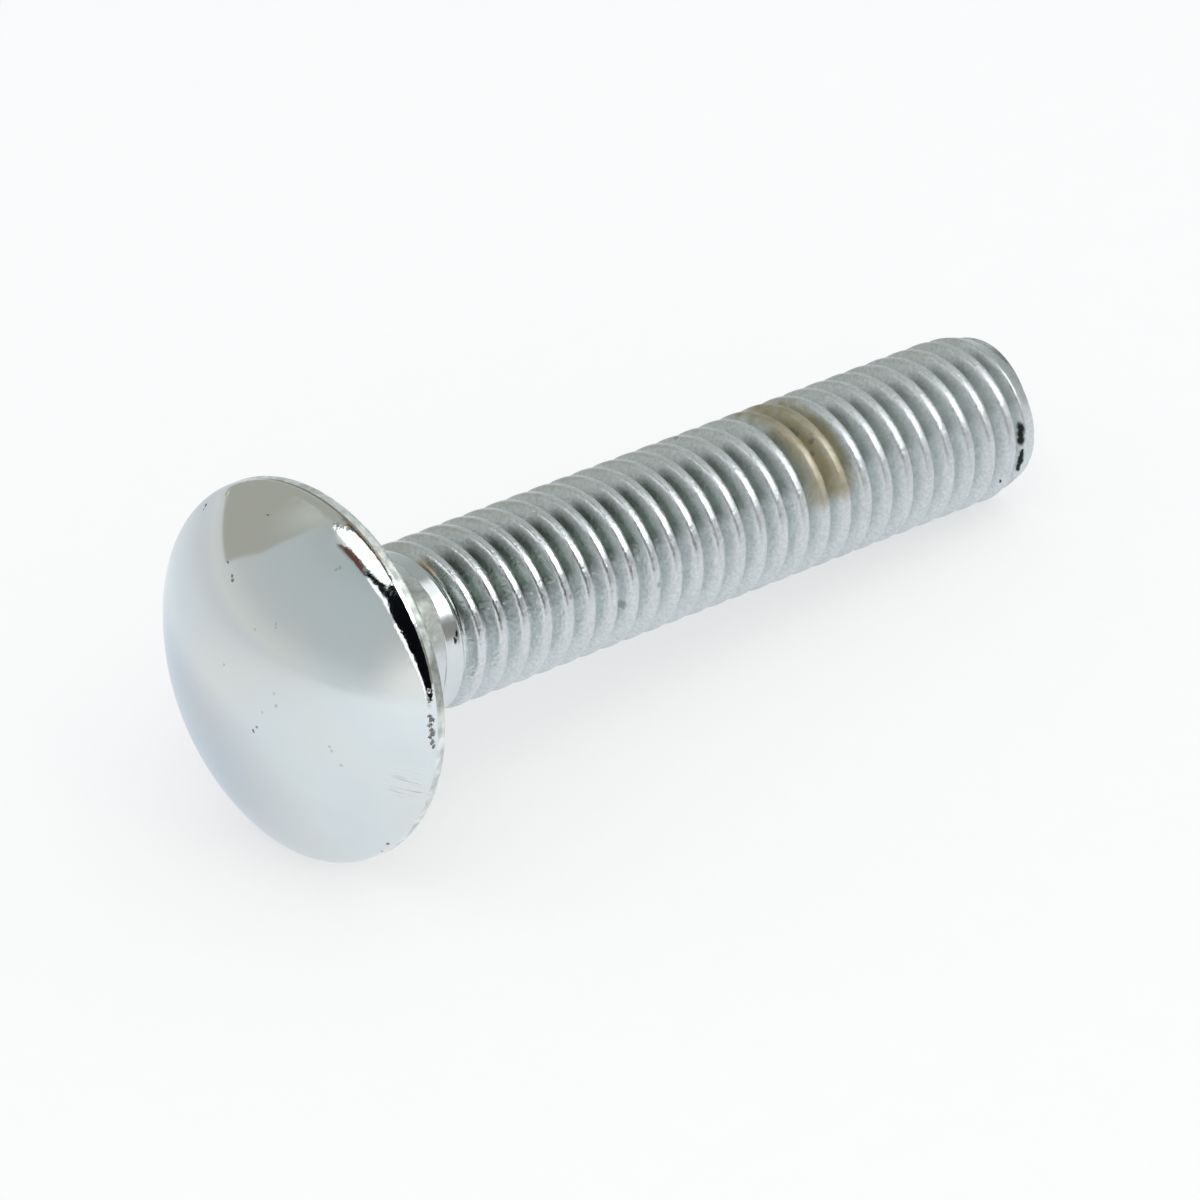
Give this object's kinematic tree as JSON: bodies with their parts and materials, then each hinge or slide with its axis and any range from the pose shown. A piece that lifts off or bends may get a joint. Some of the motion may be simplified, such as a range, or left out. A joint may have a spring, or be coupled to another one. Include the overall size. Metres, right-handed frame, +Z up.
{
  "type": "carriage bolt",
  "caption": "Round-head square-neck steel bolt with a polished chrome dome and a rolled right-hand thread, lying on its side.",
  "frame": {"origin": "middle of the lying bolt's box, on the surface that it lies on", "axes": "+X from the head towards the point, with the bolt's axis leaning down 6.79 degrees to its point, +Y across, +Z up"},
  "size_m": [0.0554, 0.0208, 0.0208],
  "materials": {
    "plated_steel": "polished chrome on the dome, satin bright plating on the shank and thread"
  },
  "bodies": {
    "root": {"carriage_bolt": "plated_steel"}
  },
  "joints": []
}
